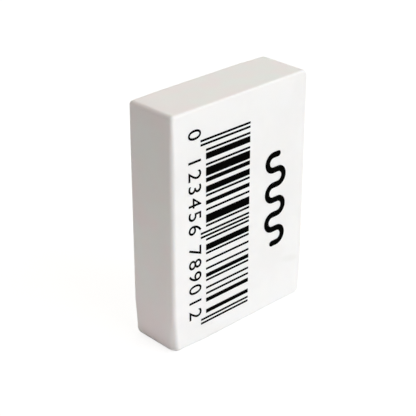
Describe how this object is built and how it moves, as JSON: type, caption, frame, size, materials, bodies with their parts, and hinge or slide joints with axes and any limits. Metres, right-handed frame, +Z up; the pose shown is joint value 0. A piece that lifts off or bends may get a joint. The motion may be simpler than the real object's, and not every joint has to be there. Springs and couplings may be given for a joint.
{
  "type": "rubber eraser",
  "caption": "Flat white block of moulded rubber for rubbing out pencil, with soft rounded edges and a dark striped print on its front face.",
  "frame": {"origin": "on the surface that the block stands on, under the middle of the block", "axes": "+Z up along the length of the block, which stands on its small end; +X across the width, to the right as one faces the print; the printed front face looks towards -Y and the plain back towards +Y, so Y runs through the thickness"},
  "size_m": [0.03, 0.01, 0.042],
  "materials": {
    "white_rubber": "matte",
    "black_ink": "satin"
  },
  "bodies": {
    "root": {"eraser_block": "white_rubber", "printed_stripes": "black_ink", "printed_wave": "black_ink"}
  },
  "joints": []
}
